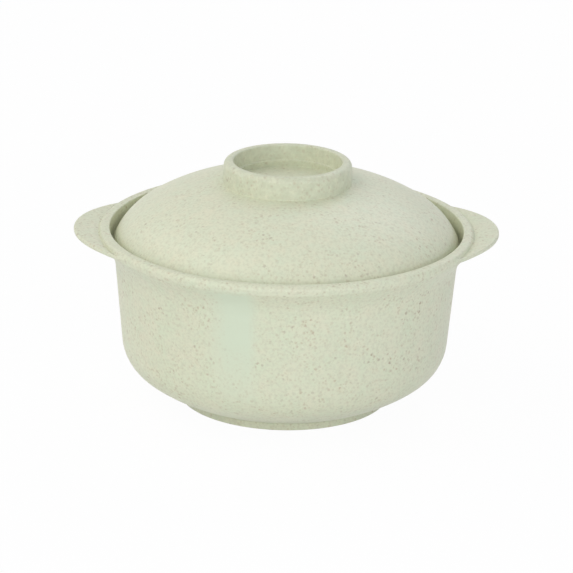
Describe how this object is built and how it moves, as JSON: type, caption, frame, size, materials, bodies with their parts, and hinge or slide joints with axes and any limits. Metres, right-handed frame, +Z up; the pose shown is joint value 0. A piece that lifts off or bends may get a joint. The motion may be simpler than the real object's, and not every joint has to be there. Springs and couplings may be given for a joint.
{
  "type": "lidded noodle bowl",
  "caption": "Round speckled plastic noodle bowl with ear handles, a foot ring and a sunk seat for a lift-off domed lid with a ring grip.",
  "frame": {"origin": "centre of the foot ring's underside, on the surface that the bowl stands on", "axes": "+Z up along the axis of bowl and lid, +X through one ear handle, +Y across the ears"},
  "size_m": [0.1818, 0.161, 0.1053],
  "materials": {
    "bowl_plastic": "satin moulded straw-filled plastic, pale sage green with fine brown specks",
    "lid_plastic": "satin moulded straw-filled plastic, pale sage green with fine brown specks"
  },
  "bodies": {
    "bowl": {"bowl": "bowl_plastic"},
    "lid": {"lid": "lid_plastic"}
  },
  "joints": [
    {"name": "lid_lift", "type": "slide", "parent": "bowl", "child": "lid", "axis": [0, 0, 1], "range_m": [0, 0.12]}
  ]
}
